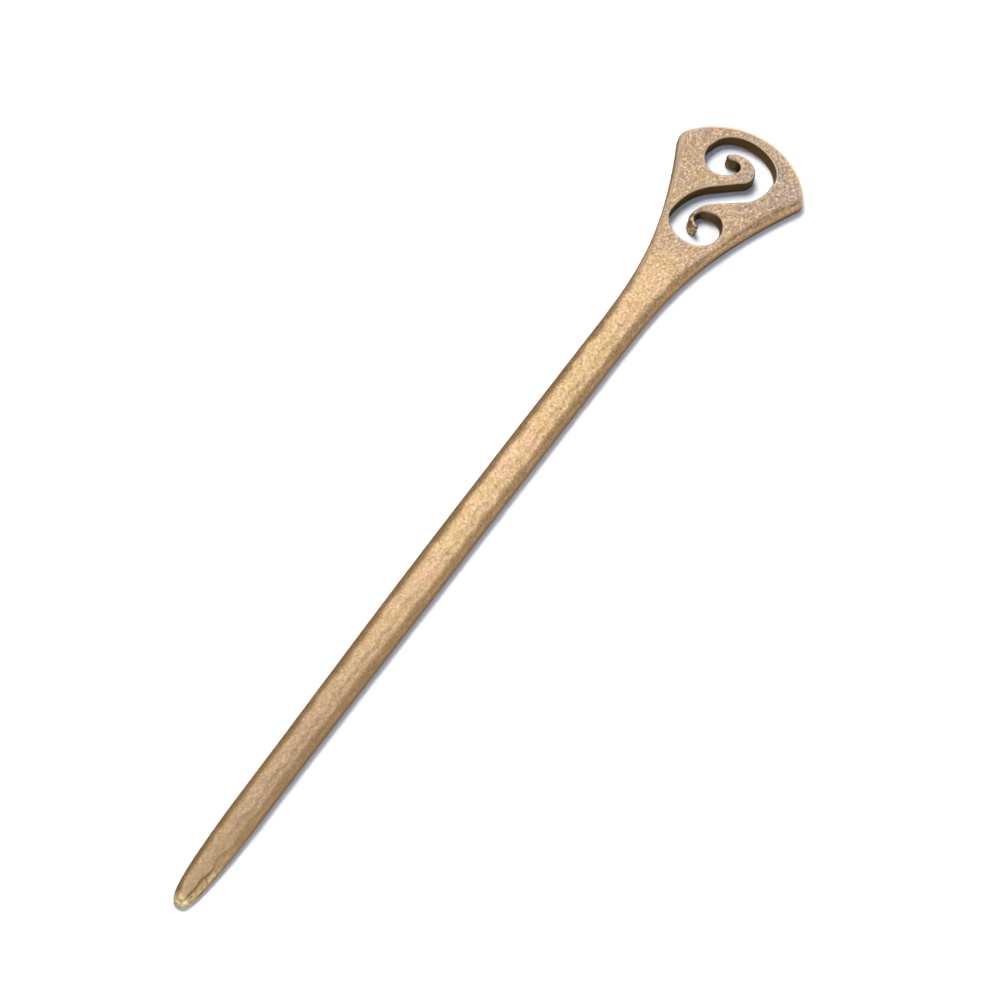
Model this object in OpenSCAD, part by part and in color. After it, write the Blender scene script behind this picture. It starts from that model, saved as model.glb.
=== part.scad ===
// Hair stick, cast in one piece: a straight bar with a blunt nose flares into a flat fan,
// and the fan is pierced by an S-shaped scroll whose two ends curl inward round small hooks.
// It lies on its flat back. X runs from the nose to the fan, Y across and Z up, in millimetres,
// and the origin is on the back, below the middle of the length.

/* [Whole stick] */
// Length from the end of the nose to the top of the fan's arc
stick_length = 130; // [115:1:145]

/* [Bar] */
// Width of the bar at its fullest, which it keeps up to the neck, where the fan begins
bar_width = 4.6; // [4:0.05:5.4]
// Width of the bar where the nose begins
nose_root_width = 4.1; // [3.6:0.05:4.6]
// Thickness of the bar at the middle of its crowned top
bar_thickness = 2.8; // [2.3:0.05:3.4]
// Height of the crown above the shoulders
bar_crown = 0.1; // [0.05:0.05:0.4]
// Distance from the end of the nose to where the bar is at its fullest
full_from_nose = 60; // [40:1:80]
// Distance by which the bar's slow bend carries the nose to the right of the fan's axis
nose_swing = 0.75; // [0:0.05:1.5]

/* [Nose] */
// Length of the nose, which narrows to a blunt end
nose_length = 17.5; // [13:0.5:22]
// Thickness of the nose at its end
nose_end_thickness = 1.5; // [1.3:0.05:1.9]
// Width of the rounded shoulder at the end of the nose
nose_round = 0.6; // [0.4:0.05:0.8]

/* [Fan] */
// Length of the fan from the neck to the top of its arc
fan_length = 35; // [31:0.5:39]
// Width of the fan across its corners, measured before they are rounded
fan_width = 17.9; // [15:0.1:20]
// Thickness of the flat fan
fan_thickness = 2.5; // [2:0.05:3]
// Height of the arc above the line through the corners
arc_rise = 5; // [4:0.1:6.4]
// Angle between the flank and the bar's axis at the corner
flank_angle = 26.5; // [22:0.5:30]
// Angle by which the end of the fan leans to one side
fan_lean = 4.5; // [0:0.5:6]
// Length that rounding takes off each edge at the softer, left corner
left_corner_round = 0.9; // [0.6:0.1:2]
// Length that rounding takes off each edge at the tighter, right corner
right_corner_round = 0.8; // [0.5:0.1:1.6]

/* [Edges] */
// Width of the rounded shoulders along the bar
bar_shoulder = 1.25; // [0.8:0.05:1.5]
// Depth of the rounded shoulders along the bar
bar_shoulder_depth = 1.3; // [0.8:0.05:1.5]
// Radius of the edge round the fan's face
fan_edge = 0.45; // [0.25:0.05:0.7]
// Radius at the foot of the bar's sides
bar_foot = 0.7; // [0.3:0.05:0.9]
// Radius at the foot of the fan's sides
fan_foot = 0.3; // [0.2:0.05:0.5]

/* [Scroll] */
// Length of the scroll opening, as a share of the fan's length
scroll_long = 0.463; // [0.42:0.001:0.48]
// Width of the scroll opening, as a share of the fan's width
scroll_wide = 0.505; // [0.48:0.001:0.56]
// Distance of the scroll's middle to the left of the fan's axis
scroll_left = 0.15; // [-0.3:0.05:0.4]
// Rim between the opening and the top of the arc
top_rim = 1.5; // [1.1:0.05:2]
// Radius of the opening's edges, on the face and on the back
scroll_edge = 0.2; // [0.1:0.05:0.25]

/* [Hidden] */

neck_at = stick_length - fan_length;
corner_at = stick_length - arc_rise;
scroll_length = scroll_long * fan_length;
scroll_width = scroll_wide * fan_width;
scroll_start = stick_length - top_rim - scroll_length;
cut_past = 1;                       // how far the cutter runs past the face and the back

// How the nose swells from its end: the first number is its fullness, the second its bluntness
nose_curve = [2.8, 0.32];
// How far the flank keeps the direction of the bar and of the corner, as shares of the fan's length
flank_pull = [0.3, 0.4];
// How soon the fan's thickness and its flat top are reached, as a share of the way to the corner
flat_from = 0.5;

// Stations along each stretch of the outline
nose_steps = 12;
bar_steps = 9;
flank_steps = 16;
corner_steps = 4;
arc_steps = 12;
shoulder_steps = 5;
foot_steps = 2;
// Places of the crown's lines across the top, as shares of its width
crown_lines = [0.2, 0.5, 0.8];

function mix(a, b, t) = a + (b - a) * t;
function within(t) = min(1, max(0, t));
function eased(t) = let (u = within(t)) u * u * (3 - 2 * u);
function bezier(a, b, c, d, t) =
    pow(1 - t, 3) * a + 3 * pow(1 - t, 2) * t * b + 3 * (1 - t) * t * t * c + pow(t, 3) * d;
function joint_curve(a, b, c, t) = pow(1 - t, 2) * a + 2 * (1 - t) * t * b + t * t * c;

// One half of the outline, from the end of the nose to the top of the arc, as [along, across]
function nose_half() = [
    for (i = [0 : nose_steps - 1])
    let (t = pow(i / nose_steps, 2))
    [t * nose_length, nose_root_width / 2 * pow(1 - pow(1 - t, nose_curve[0]), nose_curve[1])]
];

function bar_half() = [
    for (i = [0 : bar_steps - 1])
    let (x = mix(nose_length, neck_at, i / bar_steps))
    let (swell = eased((x - nose_length) / (full_from_nose - nose_length)))
    [x, mix(nose_root_width, bar_width, swell) / 2]
];

fan_corner = [corner_at, fan_width / 2];
neck_point = [neck_at, bar_width / 2];
neck_handle = neck_point + [flank_pull[0] * fan_length, 0];
corner_handle = fan_corner - flank_pull[1] * fan_length * [cos(flank_angle), sin(flank_angle)];
function flank_point(t) = bezier(neck_point, neck_handle, corner_handle, fan_corner, t);

arc_radius = (pow(fan_width / 2, 2) + pow(arc_rise, 2)) / (2 * arc_rise);
arc_half_angle = asin(fan_width / 2 / arc_radius);
function arc_point(angle) = [stick_length - arc_radius * (1 - cos(angle)), arc_radius * sin(angle)];

function fan_half(corner_round) =
    let (flank_end = 1 - corner_round / (3 * flank_pull[1] * fan_length))
    let (arc_start = arc_half_angle - corner_round / arc_radius * 180 / PI)
    concat(
        [for (i = [0 : flank_steps - 1]) flank_point(flank_end * i / flank_steps)],
        [for (i = [0 : corner_steps - 1])
            joint_curve(flank_point(flank_end), fan_corner, arc_point(arc_start), i / corner_steps)],
        [for (i = [0 : arc_steps]) arc_point(arc_start * (1 - i / arc_steps))]
    );

// The lean slides the left edge back and the right edge forward, more and more towards the arc,
// and the bend carries the bar to the right, more and more towards the nose
function fan_share(x) = within((x - neck_at) / (corner_at - neck_at));
function bar_share(x) = within(1 - x / neck_at);
function leaned_and_bent(point, side) = [
    point[0] - side * point[1] * tan(fan_lean) * eased(fan_share(point[0])),
    side * point[1] - nose_swing * pow(bar_share(point[0]), 2)
];

function edge_line(side) =
    let (corner_round = side > 0 ? left_corner_round : right_corner_round)
    let (half = concat(nose_half(), bar_half(), fan_half(corner_round)))
    [for (point = half) leaned_and_bent(point, side)];

left_line = edge_line(1);
right_line = edge_line(-1);
stations = len(left_line);

// The same place on the other side of the stick, for a point next to one of its two ends
function across_from(point, end) = [point[0], 2 * end[1] - point[1]];

// Direction from the outline into the metal, square to the outline
function inward(line, side, i) =
    let (before = i == 0 ? across_from(line[1], line[0]) : line[i - 1])
    let (after = i == stations - 1 ? across_from(line[i - 1], line[i]) : line[i + 1])
    let (run = after - before)
    side * [run[1], -run[0]] / norm(run);

// Sizes that change along the stick
function shoulder_width(x) =
    mix(mix(nose_round, bar_shoulder, eased(x / nose_length)), fan_edge, fan_share(x));
function shoulder_depth(x) = mix(
    mix(nose_round, bar_shoulder_depth, eased(x / nose_length)), fan_edge, fan_share(x));
function foot(x) = mix(bar_foot, fan_foot, fan_share(x));
function flatness(x) = eased(fan_share(x) / flat_from);
function shoulder_top(x) = mix(
    mix(nose_end_thickness, bar_thickness - bar_crown, eased(x / nose_length)),
    fan_thickness, flatness(x));
function crown(x) = mix(mix(0, bar_crown, eased(x / nose_length)), 0, flatness(x));

// Rounded edge as [distance in from the outline, height], from the foot up to the shoulder
function edge_profile(x) = concat(
    [for (k = [0 : foot_steps])
        let (angle = 90 * k / foot_steps)
        [foot(x) * (1 - sin(angle)), foot(x) * (1 - cos(angle))]],
    [for (k = [0 : shoulder_steps])
        let (angle = 90 * k / shoulder_steps)
        [shoulder_width(x) * (1 - cos(angle)), shoulder_top(x) - shoulder_depth(x) * (1 - sin(angle))]]
);
levels = foot_steps + shoulder_steps + 2;

function side_points(line, side, i) =
    [for (row = edge_profile(line[i][0]))
        let (flat = line[i] + row[0] * inward(line, side, i))
        [flat[0], flat[1], row[1]]];

function crown_points(left_top, right_top, x) =
    [for (share = crown_lines)
        let (lift = crown(x) * (1 - pow(2 * share - 1, 2)))
        mix(left_top, right_top, share) + [0, 0, lift]];

// One closed ring of points per station, and one upright row of points at each end
function ring(i) =
    let (left = side_points(left_line, 1, i))
    let (right = side_points(right_line, -1, i))
    let (top = crown_points(left[levels - 1], right[levels - 1], left_line[i][0]))
    concat(left, top, [for (k = [levels - 1 : -1 : 0]) right[k]]);

ring_size = 2 * levels + len(crown_lines);
function folded(j) = j < levels ? j : j < levels + len(crown_lines) ? levels - 1 : ring_size - 1 - j;
function at(i, j) =
    let (k = j % ring_size)
    i == 0 ? folded(k)
    : i == stations - 1 ? levels + (stations - 2) * ring_size + folded(k)
    : levels + (i - 1) * ring_size + k;
function true_face(face) = face[0] != face[1] && face[1] != face[2] && face[2] != face[0];

module blank() {
    points = concat(
        side_points(left_line, 1, 0),
        [for (i = [1 : stations - 2]) each ring(i)],
        side_points(left_line, 1, stations - 1)
    );
    faces = [
        for (i = [0 : stations - 2], j = [0 : ring_size - 1])
        for (face = [
            [at(i, j), at(i + 1, j + 1), at(i, j + 1)],
            [at(i, j), at(i + 1, j), at(i + 1, j + 1)]
        ])
        if (true_face(face)) face
    ];
    polyhedron(points, faces, convexity = 4);
}

// Edge of the scroll as a chain of arcs, run clockwise seen from above. Lengths are shares of the
// scroll's length and width, measured from its lower end and from its own middle:
// [centre along, centre across, radius along, radius across, first angle, last angle]
scroll_arcs = [
    [0.765, 0.24, 0.15, 0.28, 170, 75],         // shoulder of the upper lobe
    [0.815, -0.005, 0.185, 0.495, 85, -95],     // far side of the upper lobe
    [0.76, -0.03, 0.275, 0.475, -85, -140],     // upper lobe into the channel
    [0.22, -0.19, 0.2, 0.35, 40, 90],           // back of the lower hook
    [0.2, 0.055, 0.065, 0.105, 95, 180],        // bend of the lower hook
    [0.16, 0.005, 0.025, 0.05, 180, 340],       // end of the lower hook
    [0.24, -0.02, 0.06, 0.105, 150, 40],        // inside of the lower hook
    [0.185, -0.14, 0.14, 0.21, 30, -95],        // near side of the lower lobe
    [0.165, 0.02, 0.165, 0.375, -90, -270],     // lower end of the scroll
    [0.165, -0.365, 0.465, 0.755, 90, 40],      // lower lobe into the channel
    [0.755, 0.015, 0.115, 0.26, 220, 410],      // back of the upper hook
    [0.8, 0.205, 0.028, 0.05, 60, 240],         // end of the upper hook
    [0.75, 0.085, 0.05, 0.095, 30, -90],        // inside of the upper hook
    [0.76, 0.29, 0.14, 0.305, -95, -175]        // near side of the upper lobe
];
arc_step = 15;

function arc_points(row) =
    let (count = ceil(abs(row[5] - row[4]) / arc_step))
    [for (i = [0 : count])
        let (angle = mix(row[4], row[5], i / count))
        [scroll_start + scroll_length * (row[0] + row[2] * cos(angle)),
            scroll_left + scroll_width * (row[1] + row[3] * sin(angle))]];

function without_repeats(line, nearest) =
    [for (i = [0 : len(line) - 1]) if (norm(line[i] - line[(i + 1) % len(line)]) > nearest) line[i]];

scroll_line = without_repeats([for (row = scroll_arcs) each arc_points(row)], 0.05);
scroll_count = len(scroll_line);

// Direction from the opening into the metal
function outward(i) =
    let (before = scroll_line[(i + scroll_count - 1) % scroll_count])
    let (after = scroll_line[(i + 1) % scroll_count])
    let (run = after - before)
    [-run[1], run[0]] / norm(run);

// Levels of the opening as [distance out from its wall, height]
scroll_levels = concat(
    [[scroll_edge, -cut_past]],
    [for (angle = [0, 45, 90]) [scroll_edge * (1 - sin(angle)), scroll_edge * (1 - cos(angle))]],
    [for (angle = [90, 45, 0])
        [scroll_edge * (1 - sin(angle)), fan_thickness - scroll_edge * (1 - cos(angle))]],
    [[scroll_edge, fan_thickness + cut_past]]
);

module scroll_opening() {
    last = len(scroll_levels) - 1;
    points = [
        for (row = scroll_levels, i = [0 : scroll_count - 1])
        let (flat = scroll_line[i] + row[0] * outward(i))
        [flat[0], flat[1], row[1]]
    ];
    walls = [
        for (k = [0 : last - 1], i = [0 : scroll_count - 1])
        let (next = (i + 1) % scroll_count)
        [k * scroll_count + i, k * scroll_count + next,
            (k + 1) * scroll_count + next, (k + 1) * scroll_count + i]
    ];
    bottom = [for (i = [scroll_count - 1 : -1 : 0]) i];
    top = [for (i = [0 : scroll_count - 1]) last * scroll_count + i];
    polyhedron(points, concat(walls, [bottom, top]), convexity = 8);
}

module hair_stick() {
    color([0.76, 0.62, 0.44])
    translate([-stick_length / 2, 0, 0])
    difference() {
        blank();
        scroll_opening();
    }
}

hair_stick();
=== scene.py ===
from math import asin, ceil, cos, pi, radians, sin, tan

import bmesh
import bpy
import numpy as np
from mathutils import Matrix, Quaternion, Vector, noise
from mathutils.geometry import delaunay_2d_cdt


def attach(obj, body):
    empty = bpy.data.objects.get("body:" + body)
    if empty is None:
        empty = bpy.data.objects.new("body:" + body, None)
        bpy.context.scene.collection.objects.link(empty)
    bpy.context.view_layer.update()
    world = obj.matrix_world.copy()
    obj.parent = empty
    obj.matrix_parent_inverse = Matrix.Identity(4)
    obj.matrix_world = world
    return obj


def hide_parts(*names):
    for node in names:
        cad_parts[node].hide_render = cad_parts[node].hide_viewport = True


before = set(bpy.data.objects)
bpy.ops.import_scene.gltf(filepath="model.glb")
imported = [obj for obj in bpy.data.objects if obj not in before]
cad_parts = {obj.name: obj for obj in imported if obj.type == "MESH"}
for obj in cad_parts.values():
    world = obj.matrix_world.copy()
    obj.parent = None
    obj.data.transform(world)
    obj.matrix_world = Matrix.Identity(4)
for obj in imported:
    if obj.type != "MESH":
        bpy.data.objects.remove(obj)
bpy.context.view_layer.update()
mm = 0.001

# a cast hair stick in antique bronze, lying on its flat back
# sizes are in millimetres and measured from the end of the nose
stick = {
    "length": 130.0,
    "noseLength": 17.5, "noseRootWidth": 4.1, "noseFullness": 2.8, "noseBluntness": 0.32,
    "noseEndThickness": 1.5, "noseRound": 1.15, "noseRoundDepth": 0.9, "noseSwing": 0.75,
    "barWidth": 4.6, "barThickness": 2.8, "barCrown": 0.15, "fullFromNose": 60.0,
    "barShoulder": 1.5, "barShoulderDepth": 1.3, "barFoot": 0.7,
    "fanLength": 35.0, "fanWidth": 17.9, "fanThickness": 2.5, "arcRise": 5.0,
    "flankAngle": 26.5, "flankPull": (0.3, 0.4), "fanLean": 4.5,
    "leftCornerRound": 0.9, "rightCornerRound": 0.8,
    "fanEdge": 1.1, "leftEdge": 0.8, "arcEdge": 0.45, "fanFoot": 0.4, "flatFrom": 0.5,
    "seam": 0.04, "seamHeight": 0.12,
}

# how finely each line and surface is cut: a plate's rows of points lie rowShare of a step apart
# and stay clearShare of a step clear of its edges, and blockSize points are tested at a time;
# roomShare is how much of the free metal beside an edge its rounding may take
mesh = {
    "nosePoints": 80, "barPoints": 160, "flankPoints": 120, "cornerPoints": 12, "arcPoints": 60,
    "degreesPerPoint": 6, "outlineStep": 0.25, "scrollStep": 0.15,
    "faceStep": 0.25, "backStep": 0.8, "rowShare": 0.87, "clearShare": 0.45, "blockSize": 500,
    "footSteps": 4, "sideSteps": 3, "shoulderSteps": 9, "wallSteps": 6, "edgeSteps": 5,
    "roomShare": 0.8,
}

# how many times values along a line are averaged with their neighbours
smoothing = {"joints": 3, "rope": 8, "turn": 20, "arc": 6, "room": 2}


def mixed(a, b, share):
    return a + (b - a) * share


def within(share):
    return min(1.0, max(0.0, share))


def eased(share):
    u = within(share)
    return u * u * (3 - 2 * u)


neckAt = stick["length"] - stick["fanLength"]
cornerAt = stick["length"] - stick["arcRise"]


def fanShare(x):
    return within((x - neckAt) / (cornerAt - neckAt))


def noseShare(x):
    return eased(x / stick["noseLength"])


# one side of the stick, from the end of the nose to the middle of the arc
def halfOutline(cornerRound):
    s = stick
    points = []
    for i in range(mesh["nosePoints"]):
        t = (i / mesh["nosePoints"]) ** 3                   # closest together at the very end
        fullness = (1 - (1 - t) ** s["noseFullness"]) ** s["noseBluntness"]
        points.append((t * s["noseLength"], s["noseRootWidth"] / 2 * fullness))
    for i in range(mesh["barPoints"]):
        x = mixed(s["noseLength"], neckAt, i / mesh["barPoints"])
        swell = eased((x - s["noseLength"]) / (s["fullFromNose"] - s["noseLength"]))
        points.append((x, mixed(s["noseRootWidth"], s["barWidth"], swell) / 2))

    angle = radians(s["flankAngle"])
    corner = Vector((cornerAt, s["fanWidth"] / 2))
    neck = Vector((neckAt, s["barWidth"] / 2))
    neckHandle = neck + Vector((s["flankPull"][0] * s["fanLength"], 0))
    reach = s["flankPull"][1] * s["fanLength"]
    cornerHandle = corner - reach * Vector((cos(angle), sin(angle)))

    def flank(t):
        return ((1 - t) ** 3 * neck + 3 * (1 - t) ** 2 * t * neckHandle
                + 3 * (1 - t) * t * t * cornerHandle + t ** 3 * corner)

    arcRadius = ((s["fanWidth"] / 2) ** 2 + s["arcRise"] ** 2) / (2 * s["arcRise"])
    arcStart = asin(s["fanWidth"] / 2 / arcRadius) - cornerRound / arcRadius

    def arc(a):
        return Vector((s["length"] - arcRadius * (1 - cos(a)), arcRadius * sin(a)))

    flankEnd = 1 - cornerRound / (3 * reach)
    points += [flank(flankEnd * i / mesh["flankPoints"]) for i in range(mesh["flankPoints"])]
    for i in range(mesh["cornerPoints"]):
        t = i / mesh["cornerPoints"]
        points.append((1 - t) ** 2 * flank(flankEnd) + 2 * (1 - t) * t * corner
                      + t * t * arc(arcStart))
    count = mesh["arcPoints"]
    points += [arc(arcStart * (1 - i / count)) for i in range(count + 1)]
    return points


def leanedAndBent(point, side):
    x, y = point
    lean = y * tan(radians(stick["fanLean"])) * eased(fanShare(x))
    swing = stick["noseSwing"] * within(1 - x / neckAt) ** 2
    return Vector((x - side * lean, side * y - swing))


# even steps along a closed line
def resampled(points, step):
    closed = np.array([tuple(p) for p in points] + [tuple(points[0])])
    run = np.r_[0, np.cumsum(np.linalg.norm(np.diff(closed, axis=0), axis=1))]
    count = ceil(run[-1] / step)
    at = np.linspace(0, run[-1], count, endpoint=False)
    return np.c_[np.interp(at, run, closed[:, 0]), np.interp(at, run, closed[:, 1])]


def smoothed(values, rounds):
    for _ in range(rounds):
        values = (np.roll(values, 1) + values + np.roll(values, -1)) / 3
    return values


# unit directions square to a closed line, to the left of its run
def squareTo(line):
    run = np.roll(line, -1, axis=0) - np.roll(line, 1, axis=0)
    run /= np.linalg.norm(run, axis=1)[:, None]
    return np.c_[-run[:, 1], run[:, 0]]


# how sharply a closed line turns to the right, as 1 / radius
def rightTurn(line):
    run = np.roll(line, -1, axis=0) - line
    last = np.roll(run, 1, axis=0)
    cross = last[:, 1] * run[:, 0] - last[:, 0] * run[:, 1]
    return smoothed(cross / np.linalg.norm(run, axis=1) ** 3, smoothing["turn"])


# how wide a rounding may be at each point of a line: a share of the radius of the largest circle
# that touches the line there, on the given side, and holds no other point
def roomBeside(line, directions, others):
    tiny, endless = 1e-6, 1e3
    gap = others[None] - line[:, None]
    ahead = (gap * directions[:, None]).sum(2)
    radius = (gap ** 2).sum(2) / (2 * np.maximum(ahead, tiny))
    largest = np.where(ahead > tiny, radius, endless).min(1)
    return smoothed(mesh["roomShare"] * largest, smoothing["room"])


def stickOutline():
    left = [leanedAndBent(p, 1) for p in halfOutline(stick["leftCornerRound"])]
    right = [leanedAndBent(p, -1) for p in halfOutline(stick["rightCornerRound"])]
    return resampled(right[:-1] + left[:0:-1], mesh["outlineStep"])       # counter-clockwise


# the S-shaped opening, as a chain of arcs run clockwise seen from above: centre along and
# across, radius along and across, first and last angle, and how rope-like the edge is at each end
scroll = {
    "long": 0.463, "wide": 0.505, "left": 0.15, "topRim": 1.5, "edge": 0.26, "backEdge": 0.3,
    "ropeWidth": 0.5, "ropeDepth": 0.85,
    "arcs": (
        (0.765, 0.24, 0.15, 0.28, 170, 75, 0, 0),           # shoulder of the upper lobe
        (0.815, -0.005, 0.185, 0.495, 85, -95, 0, 0),       # far side of the upper lobe
        (0.76, -0.03, 0.275, 0.475, -85, -140, 0, 0),       # upper lobe into the channel
        (0.215, -0.24, 0.22, 0.39, 40, 90, 0, 0.7),         # back of the lower hook
        (0.21, 0.035, 0.075, 0.11, 95, 180, 0.7, 1),        # bend of the lower hook
        (0.155, -0.005, 0.02, 0.04, 190, 350, 1, 1),        # end of the lower hook
        (0.24, -0.1, 0.075, 0.18, 145, 35, 1, 0.3),         # inside of the lower hook
        (0.18, -0.15, 0.145, 0.205, 30, -95, 0.2, 0),       # near side of the lower lobe
        (0.165, 0.02, 0.165, 0.375, -90, -270, 0, 0),       # lower end of the scroll
        (0.165, -0.365, 0.465, 0.755, 90, 40, 0, 0),        # lower lobe into the channel
        (0.755, 0.015, 0.115, 0.26, 220, 420, 0, 0.3),      # back of the upper hook
        (0.8, 0.195, 0.025, 0.055, 50, 235, 0.3, 0.3),      # end of the upper hook
        (0.75, 0.085, 0.045, 0.1, 40, -95, 0.3, 0),         # inside of the upper hook
        (0.76, 0.29, 0.14, 0.305, -95, -175, 0, 0),         # near side of the upper lobe
    ),
}


# the opening's line, and how rope-like its edge is at each point
def scrollOutline():
    length = scroll["long"] * stick["fanLength"]
    width = scroll["wide"] * stick["fanWidth"]
    start = stick["length"] - scroll["topRim"] - length
    points, rope = [], []
    for row in scroll["arcs"]:
        along, across, radiusAlong, radiusAcross, first, last, ropeFirst, ropeLast = row
        count = ceil(abs(last - first) / mesh["degreesPerPoint"])
        for i in range(count):
            angle = radians(mixed(first, last, i / count))
            points.append((start + length * (along + radiusAlong * cos(angle)),
                           scroll["left"] + width * (across + radiusAcross * sin(angle))))
            rope.append(mixed(ropeFirst, ropeLast, i / count))
    even = resampled(points, mesh["scrollStep"])
    near = [int(np.argmin(((np.array(points) - p) ** 2).sum(1))) for p in even]
    for _ in range(smoothing["joints"]):                    # takes the kinks out of the joints
        even = (np.roll(even, 1, axis=0) + 2 * even + np.roll(even, -1, axis=0)) / 4
    return even, smoothed(np.array([rope[i] for i in near]), smoothing["rope"])


# sizes that change along the stick
def shoulderWidth(x):
    bar = mixed(stick["noseRound"], stick["barShoulder"], noseShare(x))
    return mixed(bar, stick["fanEdge"], fanShare(x))


def shoulderDepth(x):
    bar = mixed(stick["noseRoundDepth"], stick["barShoulderDepth"], noseShare(x))
    return mixed(bar, stick["fanEdge"], fanShare(x))


def footRadius(x):
    return mixed(stick["barFoot"], stick["fanFoot"], fanShare(x))


def flatness(x):
    return eased(fanShare(x) / stick["flatFrom"])


def faceHeight(x):
    bar = mixed(stick["noseEndThickness"], stick["barThickness"] - stick["barCrown"], noseShare(x))
    return mixed(bar, stick["fanThickness"], flatness(x))


def crownHeight(x):
    return stick["barCrown"] * noseShare(x) * (1 - flatness(x))


# what casting and tumbling leave: slow waves, small dents, a shoulder that wanders, and lumps on
# the hook and the nose; the relief is sunk a little, and grows over reliefOver mm of height
casting = {
    "waveLength": 5.0, "waveHeight": 0.018, "waveSeed": 7.3,
    "dentLength": 1.3, "dentHeight": 0.011, "dentSeed": 2.1,
    "wanderLength": 2.5, "wanderShare": 0.6, "wanderSeed": 5.5,
    "lumpLength": 0.6, "lumpHeight": 0.16, "lumpReach": 0.6, "lumpLeast": 0.05,
    "sink": 0.012, "reliefFrom": 0.8, "reliefOver": 1.2,
}


# a point in metres from the middle of the length, with the relief, which fades out down the
# sides and leaves the back flat
def cast(p):
    wave = noise.noise(Vector((p.x, p.y, casting["waveSeed"])) / casting["waveLength"])
    dent = noise.noise(Vector((p.x, p.y, casting["dentSeed"])) / casting["dentLength"])
    relief = casting["waveHeight"] * wave + casting["dentHeight"] * dent - casting["sink"]
    fade = eased((p.z - casting["reliefFrom"]) / casting["reliefOver"])
    return Vector((p.x - stick["length"] / 2, p.y, p.z + relief * fade)) * mm


def insideLine(points, line):
    inside = np.zeros(len(points), bool)
    x, y = points[:, 0], points[:, 1]
    for (x0, y0), (x1, y1) in zip(line, np.roll(line, -1, axis=0)):
        crosses = (y0 > y) != (y1 > y)
        if crosses.any():
            at = x0 + (y - y0) / (y1 - y0) * (x1 - x0)
            inside ^= crosses & (x < at)
    return inside


# points on a staggered grid inside outer and outside hole, clear of both lines
def pointsInside(outer, hole, step):
    low, high = outer.min(0), outer.max(0)
    rows = np.arange(low[1], high[1], step * mesh["rowShare"])
    grid = np.array([(x + (j % 2) * step / 2, y) for j, y in enumerate(rows)
                     for x in np.arange(low[0], high[0], step)])
    grid = grid[insideLine(grid, outer) & ~insideLine(grid, hole)]
    lines = np.r_[outer, hole]
    far = np.ones(len(grid), bool)
    size = mesh["blockSize"]
    for i in range(0, len(grid), size):
        gap = ((grid[i:i + size][:, None, :] - lines[None]) ** 2).sum(2).min(1)
        far[i:i + size] = gap > (mesh["clearShare"] * step) ** 2
    return grid[far]


# triangles between two closed lines, numbered as outer, hole, then the new points
def filled(outer, hole, step):
    inner = pointsInside(outer, hole, step)
    points = np.r_[outer, hole, inner]
    n, m = len(outer), len(hole)
    edges = [(i, (i + 1) % n) for i in range(n)] + [(n + i, n + (i + 1) % m) for i in range(m)]
    insideEdges, leastGap = 1, 1e-7                         # kind of result, and mm
    _, _, faces, origins, _, _ = delaunay_2d_cdt([Vector(p) for p in points], edges, [],
                                                 insideEdges, leastGap)
    faces = np.array([[origins[v][0] for v in face] for face in faces])
    middle = points[faces].mean(1)
    return inner, faces[~insideLine(middle, hole)]


# marks say, for the material, what happened to the metal at each point and where light or shade
# is painted: band is 1 on the sides and 0 on the face, the second mark is the dark film held there
# together with painted shade, the third is how bare the metal is together with a painted highlight,
# wall is the side of the opening, lump is on the hook and the nose, and the last is painted shade
# inside a curl
markNames = ("band", "filmAndShade", "rubbedAndHighlit", "wall", "lump", "curlShade")

# how much dark film the right side holds, partly painted shade, and what the nose and fan lose
# of it, how far the fan's left side and the hook are rubbed bare, partly a painted highlight, and
# the turn in 1/mm at which painted shade starts inside a curl
wearAndPaintedLight = {
    "rightFilmAndShade": 0.7, "noseLoss": 0.4, "fanLoss": 0.45, "leftRubbedAndHighlit": 0.5, "hookRubbedAndHighlit": 0.5,
    "noseLumps": 0.6, "curlFrom": 0.5, "curlOver": 0.5,
}


# adds points and their marks to a shape, and returns the points' numbers
def addPoints(shape, flat, heights, **given):
    first, count = len(shape["points"]), len(flat)
    heights = np.broadcast_to(heights, count)
    shape["points"].extend(Vector((x, y, z)) for (x, y), z in zip(flat, heights))
    for name, values in shape["marks"].items():
        values.extend(np.broadcast_to(given.get(name, 0), count))
    return np.arange(first, first + count)


# rings over a rounded edge, from the back out to the side, or from the side in to the face; the
# marks in kept hold all the way, and those in faded are full at the side and 0 at the other end
def addFoot(shape, line, directions, width, height, steps, kept, faded):
    rings = []
    for k in range(steps):
        angle, share = pi / 2 * k / steps, k / steps
        flat = line + directions * (width * (1 - sin(angle)))[:, None]
        marks = {name: value * share for name, value in faded.items()}
        rings.append(addPoints(shape, flat, height * (1 - cos(angle)), **kept, **marks))
    return rings


def addShoulder(shape, line, directions, width, depth, top, steps, kept, faded):
    rings = []
    for k in range(steps + 1):
        angle, share = pi / 2 * k / steps, 1 - k / steps
        flat = line + directions * (width * (1 - cos(angle)))[:, None]
        marks = {name: value * share for name, value in faded.items()}
        rings.append(addPoints(shape, flat, top - depth * (1 - sin(angle)), **kept, **marks))
    return rings


def bridge(shape, rings):
    for low, high in zip(rings, rings[1:]):
        for i in range(len(low)):
            j = (i + 1) % len(low)
            shape["faces"].append((low[i], low[j], high[j], high[i]))


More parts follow.
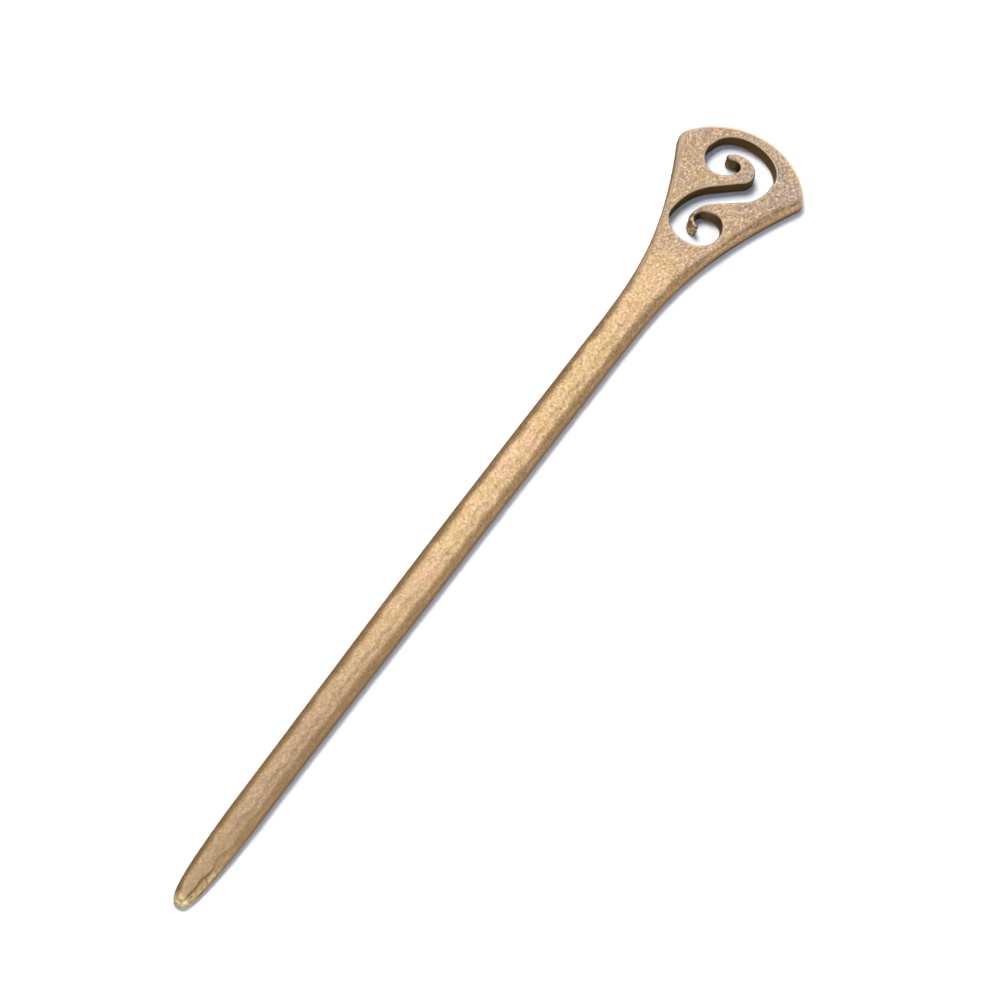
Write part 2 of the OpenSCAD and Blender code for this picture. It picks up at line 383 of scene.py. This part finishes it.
# the outer edge: foot, mould's seam, side and shoulder
def outerEdge(shape, outline, opening):
    def atEach(size):
        return np.array([size(x) for x in outline[:, 0]])

    # how far each point is on the arc, on the left, along the fan and near the nose's end
    inward = squareTo(outline)
    onArc = np.clip(-1.4 * inward[:, 0] - 0.1, 0, 1) * (outline[:, 0] > neckAt)
    onArc = smoothed(onArc, smoothing["arc"])
    onLeft = np.clip(-2 * inward[:, 1], 0, 1)
    onFan, nearNose = atEach(fanShare), 1 - atEach(noseShare)

    run = np.arange(len(outline)) * mesh["outlineStep"]
    wander = np.array([noise.noise(Vector((r, 0, casting["wanderSeed"])) / casting["wanderLength"])
                       for r in run])
    room = roomBeside(outline, inward, np.r_[outline, opening])
    width = atEach(shoulderWidth) * (1 + casting["wanderShare"] * wander)
    width *= mixed(1, stick["leftEdge"] / stick["fanEdge"], onLeft * onFan)
    width = np.minimum(mixed(width, stick["arcEdge"], onArc), room)
    depth = mixed(atEach(shoulderDepth), stick["arcEdge"], onArc)
    foot, top = np.minimum(atEach(footRadius), room), atEach(faceHeight)

    # the arc is rubbed clean and painted pale as a highlight, and the nose and the right side keep
    # less dark film and painted shade than the left
    rightFilmAndShade = wearAndPaintedLight["rightFilmAndShade"] - wearAndPaintedLight["noseLoss"] * nearNose - wearAndPaintedLight["fanLoss"] * onFan
    kept = {"filmAndShade": mixed(rightFilmAndShade, 1.0, onLeft) * (1 - onArc),
            "rubbedAndHighlit": np.maximum(onArc, wearAndPaintedLight["leftRubbedAndHighlit"] * onLeft * onFan)}
    lump = wearAndPaintedLight["noseLumps"] * nearNose

    # the band fades out over the foot, so that no dark film or painted shade from the sides runs
    # onto the flat back
    rings = addFoot(shape, outline, inward, foot, foot, mesh["footSteps"], kept, {"band": 1})
    flat = outline - inward * stick["seam"]
    rings.append(addPoints(shape, flat, foot, band=1, **kept))
    for k in range(mesh["sideSteps"]):
        heights = mixed(foot + stick["seamHeight"], top - depth, k / mesh["sideSteps"])
        rings.append(addPoints(shape, outline, heights, band=1, lump=lump, **kept))
    rings += addShoulder(shape, outline, inward, width, depth, top, mesh["shoulderSteps"], kept,
                         {"band": 1, "lump": lump})
    bridge(shape, rings)
    print("outline:", len(outline), "steps")
    return rings


# the opening's edge and wall, whose hook is rounded like a rope
def scrollEdge(shape, outline, opening, ropes):
    outward = squareTo(opening)                             # the opening runs clockwise
    room = roomBeside(opening, outward, np.r_[outline, opening])
    back, face = scroll["backEdge"], stick["fanThickness"]
    width = np.minimum(mixed(scroll["edge"], scroll["ropeWidth"], ropes), room)
    depth = mixed(scroll["edge"], scroll["ropeDepth"], ropes)

    # painted shade, nearly black, lies inside the hooks, where the wall curls tighter than a 2 mm
    # radius; the hook's own wall keeps less patina, which paints it lighter as a highlight
    curlShade = np.clip((rightTurn(opening) - wearAndPaintedLight["curlFrom"]) / wearAndPaintedLight["curlOver"], 0, 1)
    patinaAndCurlShade = {"wall": 1 - wearAndPaintedLight["hookRubbedAndHighlit"] * ropes, "curlShade": curlShade}
    lumpy = {"lump": ropes}

    levels = addFoot(shape, opening, outward, np.minimum(back, room), back, mesh["edgeSteps"],
                     lumpy, patinaAndCurlShade)
    flat = opening - outward * stick["seam"]
    levels.append(addPoints(shape, flat, back, **lumpy, **patinaAndCurlShade))
    for k in range(mesh["wallSteps"]):
        heights = mixed(back + stick["seamHeight"], face - depth, k / mesh["wallSteps"])
        levels.append(addPoints(shape, opening, heights, **lumpy, **patinaAndCurlShade))
    levels += addShoulder(shape, opening, outward, width, depth, face, mesh["edgeSteps"],
                          lumpy, patinaAndCurlShade)
    bridge(shape, levels)
    print("scroll:", len(opening), "steps, least room", round(room.min(), 3), "mm")
    return levels


def seenFlat(shape, ring):
    return np.array([shape["points"][i][:2] for i in ring])


# face or back, between the outline's ring and the opening's, with the hook's lumps running out
def addPlate(shape, outerRing, holeRing, step, heightAt, opening, ropes):
    inner, triangles = filled(seenFlat(shape, outerRing), seenFlat(shape, holeRing), step)
    lumps = []
    for x, y in inner:
        gap = np.hypot(opening[:, 0] - x, opening[:, 1] - y)
        lumps.append(ropes[gap.argmin()] * max(0, 1 - gap.min() / casting["lumpReach"]))
    new = addPoints(shape, inner, [heightAt(x, y) for x, y in inner], lump=lumps)
    index = np.r_[outerRing, holeRing, new]
    shape["faces"].extend(tuple(index[v] for v in triangle) for triangle in triangles)


# height of a face that is crowned between the two sides of the ring round it
def crownOver(ring):
    across = squareTo(ring)[:, 1]
    left, right = [side[np.argsort(side[:, 0])] for side in (ring[across < 0], ring[across > 0])]

    def height(x, y):
        low = np.interp(x, right[:, 0], right[:, 1])
        high = np.interp(x, left[:, 0], left[:, 1])
        share = within((y - low) / (high - low))
        return faceHeight(x) + crownHeight(x) * (1 - (2 * share - 1) ** 2) ** 2

    return height


def stickShape():
    outline = stickOutline()
    opening, ropes = scrollOutline()
    shape = {"points": [], "faces": [], "marks": {name: [] for name in markNames}}
    rings = outerEdge(shape, outline, opening)
    levels = scrollEdge(shape, outline, opening, ropes)
    crowned = crownOver(seenFlat(shape, rings[-1]))
    addPlate(shape, rings[-1], levels[-1], mesh["faceStep"], crowned, opening, ropes)
    addPlate(shape, rings[0], levels[0], mesh["backStep"], lambda x, y: 0.0, opening, ropes)
    return shape


def buildStick():
    shape = stickShape()
    data = bpy.data.meshes.new("bronze_hair_stick")
    data.from_pydata([cast(p) for p in shape["points"]], [],
                     [[int(v) for v in face] for face in shape["faces"]])
    for name, values in shape["marks"].items():
        layer = data.attributes.new(name, "FLOAT", "POINT")
        layer.data.foreach_set("value", np.array(values, np.float32))
    work = bmesh.new()
    work.from_mesh(data)
    bmesh.ops.recalc_face_normals(work, faces=work.faces)
    work.normal_update()
    for v, lump in zip(work.verts, shape["marks"]["lump"]):
        if lump > casting["lumpLeast"] and v.co.z > 0:
            place = v.co / mm / casting["lumpLength"]
            v.co += v.normal * (noise.noise(place) * lump * casting["lumpHeight"] * mm)
            v.co.z = max(v.co.z, 0)
    print("stick mesh:", len(work.verts), "points,", len(work.faces), "faces, open edges:",
          sum(not e.is_manifold for e in work.edges),
          "volume mm3:", round(work.calc_volume() / mm ** 3, 1))
    for f in work.faces:
        f.smooth = True
    work.to_mesh(data)
    work.free()
    piece = bpy.data.objects.new("bronze_hair_stick", data)
    bpy.context.scene.collection.objects.link(piece)
    return piece


def linear(hexColour):
    parts = [int(hexColour[i:i + 2], 16) / 255 for i in (1, 3, 5)]
    return (*[c / 12.92 if c <= 0.04045 else ((c + 0.055) / 1.055) ** 2.4 for c in parts], 1)


def addNode(tree, kind, settings=None, inputs=None):
    node = tree.nodes.new(kind)
    for name, value in (settings or {}).items():
        setattr(node, name, value)
    for name, value in (inputs or {}).items():
        if isinstance(value, bpy.types.NodeSocket):
            tree.links.new(value, node.inputs[name])
        else:
            node.inputs[name].default_value = value
    return node


# colours of the metal; some of them stand in for painted light and shade
metal = {
    "golden": "#CEB081", "rosy": "#D3AE8A", "greyed": "#A08A7E", "smudge": "#A3959A",
    "brightFleck": "#CDA566", "pinkFleck": "#CBAA98", "arcEnd": "#B59C90", "lilac": "#A2979C",
    "endShade": "#907B65", "shoulder": "#B8946A", "noseShoulder": "#C09C6C",
    "pit": "#685037", "cream": "#F4E2C4", "filmAndShade": "#6E563A", "foot": "#4E3C26",
    "shadeBesideRidge": "#5A4220", "ridgeHighlight": "#F4D6A0", "tip": "#F6E2B0",
    "wall": "#5C4730", "lump": "#D9B47C", "creaseShade": "#3E2E1A", "curl": "#241A10",
    "seam": "#A08868", "sheen": "#CABEB0",
}

# size of each pattern's blobs in mm, and their detail: plating drifts over several mm, the grain
# of the casting is 0.3 mm, and a real scratch is thinner than this one, which is drawn just wide
# enough to show
pattern = {
    "drift": {"size": 4.0, "detail": 4.0, "roughness": 0.5},
    "smudge": {"size": 2.5, "detail": 3.0, "roughness": 0.5},
    "patch": {"size": 1.4, "detail": 3.0, "roughness": 0.5},
    "fleck": {"size": 0.6, "detail": 3.0, "roughness": 0.5},
    "creaseShade": {"size": 0.5, "detail": 2.0, "roughness": 0.5},
    "grain": {"size": 0.32, "detail": 4.0, "roughness": 0.62},
    "scratch": {"size": 0.16, "detail": 1.0, "roughness": 0.5},
}

# where the looks change along the stick, in mm from its middle: start and end of each change
zones = {
    "fan": (40, 52), "arcEnd": (50, 63), "lilacEnd": (53, 60), "fanEndShade": (36, 50),
    "bar": (45, 30), "noseEndShade": (2, -45), "noseGold": (-35, -52), "ridgeHighlight": (-54, -61),
    "tip": (-63.4, -64.8), "grain": (-50, 45),
}


# one colour turning into another as share goes from 0 to 1; the mix node has its colours on
# inputs 6 and 7 and on output 2
def colour(tree, share, low, high):
    low, high = [linear(end) if isinstance(end, str) else end for end in (low, high)]
    node = addNode(tree, "ShaderNodeMix", {"data_type": "RGBA"}, {"Factor": share, 6: low, 7: high})
    return node.outputs[2]


# smooth step from 0 to top as value goes from low to high
def ramp(tree, value, low, high, top=1.0):
    node = addNode(tree, "ShaderNodeMapRange", {"interpolation_type": "SMOOTHSTEP"},
                   {"Value": value, "From Min": low, "From Max": high, "To Max": top})
    return node.outputs["Result"]


# value carried evenly from one range to another
def rescaled(tree, value, old, new):
    node = addNode(tree, "ShaderNodeMapRange", None,
                   {"Value": value, "From Min": old[0], "From Max": old[1],
                    "To Min": new[0], "To Max": new[1]})
    return node.outputs["Result"]


def maths(tree, operation, *values):
    node = addNode(tree, "ShaderNodeMath", {"operation": operation}, dict(enumerate(values)))
    return node.outputs["Value"]


def times(tree, a, b):
    return maths(tree, "MULTIPLY", a, b)


# noise with a pattern's size; most of it lies between 0.3 and 0.7, so the two values of a ramp on
# it say how much of the metal a layer covers
def texture(tree, where, kind):
    look = pattern[kind]
    node = addNode(tree, "ShaderNodeTexNoise", None,
                   {"Vector": where, "Scale": 1 / (look["size"] * mm), "Detail": look["detail"],
                    "Roughness": look["roughness"]})
    return node.outputs["Fac"]


# smooth step over one of the zones along the stick
def zone(tree, along, name, top=1.0):
    start, end = zones[name]
    return ramp(tree, along, start * mm, end * mm, top)


# what the layers look up: the place on the stick, the marks of the mesh and the shared noise
def lookUps(tree):
    where = addNode(tree, "ShaderNodeTexCoord").outputs["Object"]
    axes = addNode(tree, "ShaderNodeSeparateXYZ", None, {"Vector": where}).outputs
    at = {"where": where, "along": axes["X"], "across": axes["Y"], "height": axes["Z"]}
    for name in markNames:
        at[name] = addNode(tree, "ShaderNodeAttribute", {"attribute_name": name}).outputs["Fac"]
    at["onFan"] = zone(tree, at["along"], "fan")
    at["drift"] = texture(tree, where, "drift")
    at["flecks"] = texture(tree, where, "fleck")
    at["grain"] = texture(tree, where, "grain")
    # the grain is strongest on the fan, which was rubbed least
    grainZone = [place * mm for place in zones["grain"]]
    at["grainy"] = rescaled(tree, at["along"], grainZone, (0.35, 1.0))
    return at


# the plating drifts from yellow to pinkish over a few mm, and is greyer towards the fan's end
def platingColour(tree, at):
    rosy = ramp(tree, maths(tree, "MULTIPLY_ADD", at["onFan"], 0.08, at["drift"]), 0.42, 0.64)
    face = colour(tree, rosy, metal["golden"], metal["rosy"])
    patches = ramp(tree, texture(tree, at["where"], "patch"), 0.48, 0.70)
    greyed = times(tree, patches, maths(tree, "MULTIPLY_ADD", at["onFan"], 0.35, 0.2))
    face = colour(tree, greyed, face, metal["greyed"])
    smudges = ramp(tree, texture(tree, at["where"], "smudge"), 0.50, 0.62, 0.5)
    face = colour(tree, times(tree, smudges, at["onFan"]), face, metal["smudge"])
    face = colour(tree, ramp(tree, at["flecks"], 0.52, 0.68, 0.5), face, metal["brightFleck"])
    face = colour(tree, ramp(tree, at["flecks"], 0.46, 0.34, 0.4), face, metal["pinkFleck"])
    face = colour(tree, zone(tree, at["along"], "arcEnd", 0.4), face, metal["arcEnd"])
    # a lilac bloom lies on the right half of the arc's end
    rightHalf = ramp(tree, at["across"], 2 * mm, -3 * mm)
    rightEnd = times(tree, zone(tree, at["along"], "lilacEnd", 0.6), rightHalf)
    lilac = times(tree, rightEnd, ramp(tree, at["drift"], 0.38, 0.58))
    return colour(tree, lilac, face, metal["lilac"])


# tumbling buffs the middle and the shoulders most; both ends are painted duller, as painted shade
# where the reflection of the light falls off towards them
def tumbled(tree, at, face):
    noseEndShade = zone(tree, at["along"], "noseEndShade", 0.62)
    fanEndShade = zone(tree, at["along"], "fanEndShade", 0.55)
    face = colour(tree, maths(tree, "ADD", noseEndShade, fanEndShade), face, metal["endShade"])
    noseGold = zone(tree, at["along"], "noseGold")
    gold = colour(tree, noseGold, metal["shoulder"], metal["noseShoulder"])
    face = colour(tree, ramp(tree, at["band"], 0.0, 0.5, 0.85), face, gold)
    # the casting's grain shows as brown pits and cream tips
    pits = times(tree, ramp(tree, at["grain"], 0.52, 0.30, 0.60), at["grainy"])
    tips = times(tree, ramp(tree, at["grain"], 0.50, 0.74, 0.65), at["grainy"])
    face = colour(tree, pits, face, metal["pit"])
    face = colour(tree, tips, face, metal["cream"])
    # hairline scratches, ten times as long as wide, rub it pale in two directions
    for turn in (38, -24):
        drawn = addNode(tree, "ShaderNodeMapping", {"vector_type": "TEXTURE"},
                        {"Vector": at["where"], "Rotation": (0, 0, radians(turn)),
                         "Scale": (10, 1, 1)}).outputs["Vector"]
        scratches = ramp(tree, texture(tree, drawn, "scratch"), 0.62, 0.74, 0.3)
        face = colour(tree, times(tree, scratches, at["grainy"]), face, metal["cream"])
    return face


# the sides are painted pale where they are rubbed, partly as a painted highlight, and keep a dark
# film elsewhere, partly as painted shade
def wornAndShadedSides(tree, at, face):
    band, filmAndShade, along = at["band"], at["filmAndShade"], at["along"]
    # pale where rubbed: worn metal, and also a painted highlight on the arc and the fan's left edge
    pale = times(tree, ramp(tree, band, 0.0, 0.4, 0.9), at["rubbedAndHighlit"])
    sides = colour(tree, pale, face, metal["cream"])
    dark = times(tree, ramp(tree, band, 0.35, 0.85, 0.85), filmAndShade)
    sides = colour(tree, dark, sides, metal["filmAndShade"])
    # painted shade: on the bar's left the dark colour climbs higher up the shoulder, so that this
    # side looks rounded off as it turns away from the light
    leftOfBar = times(tree, ramp(tree, filmAndShade, 0.80, 0.95), zone(tree, along, "bar"))
    climb = times(tree, ramp(tree, band, 0.10, 0.45, 0.45), leftOfBar)
    sides = colour(tree, climb, sides, metal["filmAndShade"])
    # painted shade: the fan's sides are darker towards their foot, as under a contact shadow
    low = times(tree, ramp(tree, at["height"], 1.2 * mm, 0.6 * mm, 0.7), at["onFan"])
    sides = colour(tree, times(tree, low, band), sides, metal["foot"])
    # near its tip the nose's right shoulder is a ridge with a painted highlight, and painted shade
    # lies beside it
    rightOfNose = times(tree, ramp(tree, filmAndShade, 0.90, 0.50), zone(tree, along, "ridgeHighlight"))
    beside = times(tree, ramp(tree, band, 0.02, 0.12), ramp(tree, band, 0.30, 0.18, 0.6))
    sides = colour(tree, times(tree, beside, rightOfNose), sides, metal["shadeBesideRidge"])
    ridgeHighlight = times(tree, ramp(tree, band, 0.20, 0.38), ramp(tree, band, 0.80, 0.55, 0.7))
    broken = times(tree, ridgeHighlight, ramp(tree, at["flecks"], 0.34, 0.56))
    sides = colour(tree, times(tree, broken, rightOfNose), sides, metal["ridgeHighlight"])
    return colour(tree, zone(tree, along, "tip", 0.6), sides, metal["tip"])


# the opening's walls hold the most patina, under a rim painted pale as a highlight, and with a hook
# painted gold as a highlight and dark in its creases as painted shade
def wallsPatinaAndPaintedLight(tree, at, sides):
    wall, lump = at["wall"], at["lump"]
    stainAndPaintedLight = colour(tree, wall, sides, metal["wall"])
    # painted highlight on the rounded top edge of the wall
    rimHighlight = times(tree, ramp(tree, wall, 0.0, 0.15, 0.45), ramp(tree, wall, 0.75, 0.3))
    stainAndPaintedLight = colour(tree, rimHighlight, stainAndPaintedLight, metal["cream"])
    # hook and nose lumps: gold painted as highlight, creases dark as painted shade
    stainAndPaintedLight = colour(tree, ramp(tree, lump, 0.3, 0.9, 0.4), stainAndPaintedLight, metal["lump"])
    creaseShades = ramp(tree, texture(tree, at["where"], "creaseShade"), 0.54, 0.38, 0.8)
    stainAndPaintedLight = colour(tree, times(tree, creaseShades, lump), stainAndPaintedLight, metal["creaseShade"])
    # painted shade, nearly black, inside the curls of the hooks
    stainAndPaintedLight = colour(tree, ramp(tree, at["curlShade"], 0.0, 1.0, 0.85), stainAndPaintedLight, metal["curl"])
    # the mould's seam, low on every side, is painted pale: partly rubbed, partly a painted
    # reflection of the bright paper beside the foot
    onSeam = ramp(tree, at["height"], 0.65 * mm, 0.40 * mm, 0.3)
    seam = times(tree, onSeam, maths(tree, "MAXIMUM", at["band"], wall))
    return colour(tree, seam, stainAndPaintedLight, metal["seam"])


# a zinc casting, plated, darkened and tumbled: to the eye a satin, blotchy gold whose grain
# glitters a little, bright on worn edges, where a highlight is also painted, with painted shade on
# the sides and ends and painted shade nearly black inside the curls
def antiqueBronze():
    material = bpy.data.materials.new("antique_bronze_on_tumbled_zinc_casting")
    material.use_nodes = True
    tree = material.node_tree
    tree.nodes.clear()
    at = lookUps(tree)
    face = tumbled(tree, at, platingColour(tree, at))
    stainAndPaintedLight = wallsPatinaAndPaintedLight(tree, at, wornAndShadedSides(tree, at, face))
    # tips of the grain are polished a little smoother than its pits
    rough = rescaled(tree, at["grain"], (0.3, 0.7), (0.50, 0.40))
    bump = addNode(tree, "ShaderNodeBump", None,
                   {"Height": at["grain"], "Distance": 0.02 * mm,
                    "Strength": times(tree, at["grainy"], 0.8)})
    shader = addNode(tree, "ShaderNodeBsdfPrincipled", None,
                     {"Base Color": stainAndPaintedLight, "Metallic": 1.0, "Roughness": rough,
                      "Specular Tint": linear(metal["sheen"]), "Normal": bump.outputs["Normal"]})
    addNode(tree, "ShaderNodeOutputMaterial", None, {"Surface": shader.outputs["BSDF"]})
    print("metal:", len(tree.nodes), "nodes")
    return material


# sheet of paper, in metres: it lies a hair below the stick's back
paper = {"half": 3.0, "drop": 0.00002, "colour": "#F4F5F7", "roughness": 0.9}


# uncoated white paper, as it comes off the mill: matt, so that it shows the shadow and no gloss
def mattWhitePaper():
    material = bpy.data.materials.new("matt_white_paper")
    material.use_nodes = True
    shader = material.node_tree.nodes["Principled BSDF"]
    shader.inputs["Base Color"].default_value = linear(paper["colour"])
    shader.inputs["Roughness"].default_value = paper["roughness"]
    return material


def buildFloor():
    data = bpy.data.meshes.new("paper_floor")
    half = paper["half"]
    corners = [(-half, -half, 0), (half, -half, 0), (half, half, 0), (-half, half, 0)]
    data.from_pydata(corners, [], [(0, 1, 2, 3)])
    floor = bpy.data.objects.new("paper_floor", data)
    floor.location.z = -paper["drop"]
    data.materials.append(mattWhitePaper())
    bpy.context.scene.collection.objects.link(floor)
    print("floor:", 2 * half, "m square")


# softboxes stand in a direction in degrees at a distance in metres; the key and the blue fill
# reach the paper alone, where they make a soft and slightly blue shadow as under skylight, and the
# metal mirrors only the panel above and the two small cards
softboxes = {
    "key_softbox": {"azimuth": 58, "elevation": 68, "distance": 0.8, "size": 0.26, "power": 6.5,
                    "on": "paper", "tint": "#FFFFFF"},
    "blue_fill": {"azimuth": -70, "elevation": 50, "distance": 0.8, "size": 0.6, "power": 1.0,
                  "on": "paper", "tint": "#6CAEFF"},
    "overhead_panel": {"azimuth": 40, "elevation": 66, "distance": 0.5, "size": 0.75, "power": 2.2,
                       "on": "metal", "tint": "#FFFFFF"},
    "right_card": {"azimuth": -114, "elevation": 22, "distance": 0.5, "size": 0.28, "power": 0.38,
                   "on": "metal", "tint": "#FFFFFF"},
    "end_card": {"azimuth": 5, "elevation": 30, "distance": 0.5, "size": 0.27, "power": 0.26,
                 "on": "metal", "tint": "#FFFFFF"},
}

# the room: white walls near the horizon, grey ones above them and a dim ceiling
room = {
    "colour": "#F0EEEA", "least": 0.15, "wallHeights": (0.36, 0.10), "wallLight": 0.25,
    "upperHeights": (1.0, 0.65), "upperLight": 0.47,
}


def addSoftbox(name, box):
    data = bpy.data.lights.new(name, "AREA")
    data.color = linear(box["tint"])[:3]
    data.shape, data.size, data.energy = "SQUARE", box["size"], box["power"]
    light = bpy.data.objects.new(name, data)
    azimuth, elevation = radians(box["azimuth"]), radians(box["elevation"])
    direction = Vector((cos(elevation) * cos(azimuth), cos(elevation) * sin(azimuth),
                        sin(elevation)))
    light.location = direction * box["distance"]
    light.visible_diffuse = box["on"] == "paper"
    light.visible_glossy = box["on"] == "metal"
    light.rotation_mode = "QUATERNION"
    light.rotation_quaternion = direction.to_track_quat("Z", "Y")
    bpy.context.scene.collection.objects.link(light)


def lightScene():
    world = bpy.data.worlds.new("studio")
    world.use_nodes = True
    tree = world.node_tree
    direction = addNode(tree, "ShaderNodeTexCoord").outputs["Generated"]
    height = addNode(tree, "ShaderNodeSeparateXYZ", None, {"Vector": direction}).outputs["Z"]
    walls = ramp(tree, height, *room["wallHeights"], room["wallLight"])
    upper = ramp(tree, height, *room["upperHeights"], room["upperLight"])
    strength = maths(tree, "ADD", maths(tree, "ADD", walls, upper), room["least"])
    background = tree.nodes["Background"]
    background.inputs["Color"].default_value = linear(room["colour"])
    tree.links.new(strength, background.inputs["Strength"])
    bpy.context.scene.world = world
    for name, box in softboxes.items():
        addSoftbox(name, box)
    print("lights:", len(softboxes), "softboxes and the room")


# a long lens, so that the far end hardly shrinks, in mm and degrees; clip is in metres
camera = {
    "azimuth": -71.59, "elevation": 64.23, "roll": 17.64,
    "target": (3.87, -1.71, 2.5), "distance": 5000.0, "sensorWidth": 12.0,
    "pixelsPerMm": 8.101, "pictureWidth": 1000, "clip": (0.01, 60.0),
}


def placeCamera():
    data = bpy.data.cameras.new("camera")
    data.sensor_width = camera["sensorWidth"]
    spread = camera["distance"] * camera["pixelsPerMm"] / camera["pictureWidth"]
    data.lens = data.sensor_width * spread
    data.clip_start, data.clip_end = camera["clip"]
    seat = bpy.data.objects.new("camera", data)
    a, e = radians(camera["azimuth"]), radians(camera["elevation"])
    back = Vector((sin(a) * cos(e), -cos(a) * cos(e), sin(e)))
    seat.location = (Vector(camera["target"]) + back * camera["distance"]) * mm
    seat.rotation_mode = "QUATERNION"
    level = (-back).to_track_quat("-Z", "Y")
    seat.rotation_quaternion = level @ Quaternion((0, 0, 1), radians(camera["roll"]))
    bpy.context.scene.collection.objects.link(seat)
    bpy.context.scene.camera = seat
    print("camera: lens", round(data.lens, 1), "mm")


piece = buildStick()
piece.data.materials.append(antiqueBronze())
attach(piece, "root")
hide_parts("hair_stick")
buildFloor()
lightScene()
placeCamera()
bpy.context.scene.view_settings.view_transform = "Standard"
